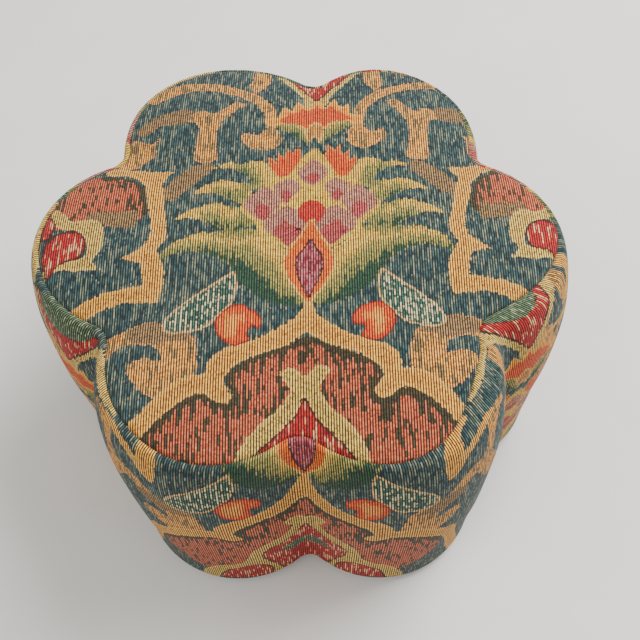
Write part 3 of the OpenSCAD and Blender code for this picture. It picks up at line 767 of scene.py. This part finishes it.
def cloth_mesh(name, points, flat, pattern_values):
    """A closed ring of cloth from the grid of its face, with each point's place in the flat cloth and in the pattern."""
    rows, columns = points.shape[:2]
    back = points - face_normals(points) * CLOTH
    count = rows * columns
    number = np.arange(count).reshape(rows, columns)
    front = np.stack([number[:-1, :-1], number[1:, :-1], number[1:, 1:], number[:-1, 1:]], -1).reshape(-1, 4)
    rims = []
    for line in (number[0, ::-1], number[-1]):
        rims.append(np.stack([line[:-1], line[:-1] + count, line[1:] + count, line[1:]], -1))
    faces = np.vstack([front, front[:, ::-1] + count, *rims])
    mesh = bpy.data.meshes.new(name)
    everything = np.vstack([points.reshape(-1, 3), back.reshape(-1, 3)]) / 1000
    mesh.from_pydata(everything.tolist(), [], faces.tolist())
    flat = np.vstack([flat.reshape(-1, 2)] * 2) / 100
    corners = np.empty(len(mesh.loops), dtype=int)
    mesh.loops.foreach_get("vertex_index", corners)
    mesh.uv_layers.new(name="cloth").data.foreach_set("uv", flat[corners].ravel())
    for motif, values in pattern_values.items():
        layer = mesh.attributes.new(motif, "FLOAT", "POINT")
        layer.data.foreach_set("value", np.tile(values, 2))
    # The ring's two ends are one line of points, and so is the middle of the top.
    made = bmesh.new()
    made.from_mesh(mesh)
    bmesh.ops.remove_doubles(made, verts=made.verts, dist=1e-6)
    made.to_mesh(mesh)
    made.free()
    mesh.shade_smooth()
    mesh.materials.append(tapestry.material)
    piece = bpy.data.objects.new(name, mesh)
    bpy.context.collection.objects.link(piece)
    return piece


top_cloth = cloth_mesh("top_cloth", top_points, flat_top, top_pattern)
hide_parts("top_panel")
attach(top_cloth, "root")

band_cloth_piece = cloth_mesh("band_cloth", band_points, flat_band, band_pattern)
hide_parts("side_band")
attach(band_cloth_piece, "root")


# Padding
# A firm foam pad lies on the top board, a layer of polyester wadding lies over it, and a second layer goes round the
# walls. All three are held only by the pulled cover, and lean with it.
GAP, WADDING, BOARD_Z = 0.3, 8.0, 8.5
under_cover = CLOTH + GAP
COARSE = 168
ring_angles = np.linspace(0, 2 * math.pi, COARSE, endpoint=False)


def band_ring(out, z, crease):
    r = outline(ring_angles, SEAM_LOBE + out, crease)
    return leaned(r * np.cos(ring_angles), r * np.sin(ring_angles), np.full(COARSE, float(z)))


def shoulder_ring(degrees, depth):
    """A ring under the band's shoulder, at an angle of its quarter ellipse."""
    t = math.radians(degrees)
    out, height = BELLY * math.sin(t), SEAM_Z - BELLY_Z
    way = np.array([math.sin(t) / BELLY, math.cos(t) / height])
    way /= np.linalg.norm(way)
    crease = SEAM_CREASE + (BAND_CREASE - SEAM_CREASE) * math.sin(t)
    return band_ring(out - depth * way[0], BELLY_Z + height * math.cos(t) - depth * way[1], crease + depth * way[0])


def side_ring(share, depth):
    out = LOWER_FLARE + (BELLY - LOWER_FLARE) * math.sin(math.pi / 2 * share) ** 2
    return band_ring(out - depth, HEM_Z + BELLY_H * share, BAND_CREASE + depth)


def fleecy(rings, size):
    """Small even lumps over a stack of rings, in and out from the middle."""
    row = np.arange(len(rings))[:, None]
    lumps = sum(np.sin(wave * ring_angles[None] + phase * row) for wave, phase in ((13, 1.3), (29, 2.7), (41, 4.1)))
    return rings * (1 + size * (lumps[..., None] - 3) / 300)


def soft_piece(name, rings, closed_middle, finish, node):
    """A closed soft piece from a stack of rings, whose first and last close over the middle or meet each other."""
    mesh = bpy.data.meshes.new(name)
    count = len(rings) * COARSE
    number = np.arange(count).reshape(-1, COARSE)
    below = np.roll(number, -1, 0)
    if closed_middle:
        number, below = number[:-1], below[:-1]
    faces = np.stack([number, below, np.roll(below, -1, 1), np.roll(number, -1, 1)], -1).reshape(-1, 4).tolist()
    points = rings.reshape(-1, 3)
    if closed_middle:
        points = np.vstack([points, rings[0].mean(0), rings[-1].mean(0)])
        last = count - COARSE
        for k in range(COARSE):
            following = (k + 1) % COARSE
            faces += [(count, k, following), (count + 1, last + following, last + k)]
    mesh.from_pydata((points / 1000).tolist(), [], faces)
    mesh.shade_smooth()
    mesh.materials.append(finish.material)
    piece = bpy.data.objects.new(name, mesh)
    bpy.context.collection.objects.link(piece)
    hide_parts(node)
    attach(piece, "root")
    return piece


wadding = Finish("wadding", roughness=0.95, sheen=0.3)
fibres = wadding.noise(wadding.place((1, 1, 3)), 260, detail=5)
tufts = wadding.noise(wadding.place(), 45, detail=3)
wadding.colour(wadding.mix(fibres, (214, 212, 204), wadding.mix(tufts, (236, 234, 228), (250, 249, 246))))
wadding.relief(wadding.calc("ADD", fibres, tufts), 0.0012)

foam = Finish("foam", roughness=0.95)
cells = foam.node("TexVoronoi", {"Vector": foam.place(), "Scale": 620}, feature="F1")
yellowing = foam.noise(foam.place(), 14, detail=3)
foam.colour(foam.mix(cells, foam.mix(yellowing, (214, 196, 140), (230, 216, 170)), (246, 236, 200)))
foam.relief(cells, 0.0006)


def crowned_rings(shares, depth):
    return np.stack([top_surface(ring_angles, share, depth) for share in shares])


inward = [1, 0.97, 0.94, 0.9, 0.85, 0.78, 0.68, 0.55, 0.4, 0.25, 0.1]
wall_in = -3.0
edge_z = BELLY_Z + (SEAM_Z - BELLY_Z) * math.cos(math.radians(22)) - under_cover - WADDING - GAP
outward = inward[::-1]
top_wadding_rings = np.concatenate([
    crowned_rings(outward, under_cover + 0.2),
    [shoulder_ring(15, under_cover + 0.3)],
    [band_ring(wall_in - 0.5, edge_z + 1.5, BAND_CREASE)],
    crowned_rings(inward[1:], under_cover + WADDING),
])
soft_piece("top_padding", fleecy(top_wadding_rings, 0.15), True, wadding, "top_wadding")
side_wadding_rings = np.stack(
    [shoulder_ring(t, under_cover + 0.3) for t in (24, 35, 46, 58, 70, 80, 90)]
    + [side_ring(share, under_cover + 0.3) for share in (0.85, 0.7, 0.55, 0.4, 0.25, 0.12, 0.03)]
    + [band_ring(wall_in + 0.9, BOARD_Z + 1, BAND_CREASE - 0.9), band_ring(wall_in + 0.9, edge_z, BAND_CREASE - 0.9)]
)
soft_piece("side_padding", fleecy(side_wadding_rings, 0.1), False, wadding, "side_wadding")
FOAM = 50.0
foam_rings = np.concatenate([
    crowned_rings(outward[:-1], under_cover + WADDING + GAP),
    [band_ring(wall_in, edge_z - depth, BAND_CREASE) for depth in (GAP, FOAM / 2, FOAM)],
    [band_ring(wall_in - inset, edge_z - FOAM, BAND_CREASE + inset) for inset in (15, 30, 45)],
])
soft_piece("foam_block", foam_rings, True, foam, "foam_pad")


# Dust cover
# Black non-woven cloth closes the underside. It lies on the board, steps down over the hem's inner edge and is stapled
# near its own edge.
dust_cloth = Finish("dust_cloth", roughness=0.95, sheen=0.2)
spun = dust_cloth.noise(dust_cloth.place((1, 1.6, 1)), 900, detail=3)
dimples = dust_cloth.node("TexVoronoi", {"Vector": dust_cloth.place(), "Scale": 480}, feature="DISTANCE_TO_EDGE")
dust_cloth.colour(dust_cloth.mix(spun, (22, 22, 24), (52, 52, 54)))
dust_cloth.relief(dust_cloth.calc("ADD", spun, dust_cloth.calc("MULTIPLY", dimples, 2)), 0.0003)
DUST = 0.5
hem_inner = SEAM_LOBE + LOWER_FLARE - HEM_W
dust_edge = SEAM_LOBE + LOWER_FLARE - 10


def dust_ring(lobe, z, share=1.0):
    crease = BAND_CREASE + SEAM_LOBE + LOWER_FLARE - lobe
    r = share * outline(ring_angles, lobe, crease)
    return np.stack([r * np.cos(ring_angles), r * np.sin(ring_angles), np.full(COARSE, z)], -1)


step_lobe = hem_inner - 1.0
face_z, low_z = BOARD_Z - 0.1, HEM_Z - 0.1
face = [dust_ring(step_lobe, face_z, share) for share in (0.05, 0.3, 0.6, 0.85, 0.97, 1.0)]
face += [dust_ring(lobe, low_z) for lobe in (step_lobe + 0.6, step_lobe + 6, dust_edge)]
upper = np.stack(face)
lower = upper - [0, 0, DUST]
dust_rings = np.concatenate([upper, lower[::-1]])
dust_piece = soft_piece("black_under_cloth", dust_rings, True, dust_cloth, "dust_cover")


# Boards, posts and walls
# The box inside is two plywood boards screwed to softwood posts and battens, with bent hardboard stapled round it.
# None of it is varnished.
def wood(name, pale, dark, ring_scale, grain_along, roughness):
    made = Finish(name, roughness=roughness)
    stretch = tuple(0.06 if axis == grain_along else 1 for axis in "xyz")
    place = made.place(stretch)
    waves = {"Vector": place, "Scale": ring_scale, "Distortion": 9, "Detail": 3, "Detail Scale": 1.4}
    rings = made.node("TexWave", waves, output=1)
    pores = made.noise(made.place(tuple(0.04 if axis == grain_along else 1 for axis in "xyz")), 900, detail=3)
    tone = made.noise(made.place(), 12)
    colour = made.mix(rings, pale, dark)
    colour = made.mix(made.calc("MULTIPLY", pores, 0.4), colour, dark)
    made.colour(made.mix(made.calc("MULTIPLY", tone, 0.3), colour, pale))
    made.relief(made.calc("ADD", rings, pores), 0.0002)
    return made


def dress(start, finish):
    """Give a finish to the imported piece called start, or to each one whose name is start and a number."""
    for name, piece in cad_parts.items():
        if name.rstrip("123456") == start:
            piece.data.materials.clear()
            piece.data.materials.append(finish.material)


plywood = wood("plywood", (222, 190, 140), (186, 146, 96), 14, "x", 0.7)
softwood = wood("softwood", (232, 204, 150), (204, 160, 100), 40, "z", 0.65)
hardboard = Finish("hardboard", roughness=0.6)
chips = hardboard.noise(hardboard.place(), 700, detail=4)
hardboard.colour(hardboard.mix(chips, (96, 66, 42), (142, 102, 68)))
hardboard.relief(chips, 0.0002)
dress("top_board", plywood)
dress("base_board", plywood)
dress("post_", softwood)
dress("notch_batten_", softwood)
dress("wall_panel_", hardboard)

# Screws, staples and nails
# The screws are zinc plated, the staples and the glides' nails are bright steel wire.
for slot, dark, light, roughness, starts in (
    ("zinc_screw", (176, 160, 110), (222, 210, 160), 0.35, ("top_board_screws", "base_board_screws")),
    ("staple_steel", (150, 152, 156), (206, 208, 212), 0.3, ("wall_staples", "hem_staples", "dust_cover_staples")),
    ("nail_steel", (140, 142, 146), (196, 198, 202), 0.38, ("glide_nails",)),
):
    metal = Finish(slot, roughness=roughness, metallic=1.0)
    drawn_lines = metal.noise(metal.place((1, 1, 0.2)), 1200, detail=3)
    metal.colour(metal.mix(drawn_lines, dark, light))
    metal.relief(drawn_lines, 0.00005)
    for start in starts:
        dress(start, metal)

# Glides
# Six black nylon glides carry the stool, each nailed under a lobe. Sliding has dulled and scratched them.
nylon = Finish("nylon", roughness=0.45)
scratches = nylon.noise(nylon.place((1, 0.1, 1), (0, 0, 0.6)), 900, detail=4)
nylon.colour(nylon.mix(scratches, (14, 14, 16), (58, 58, 60)))
nylon.relief(scratches, 0.0001)
dress("glide_", nylon)
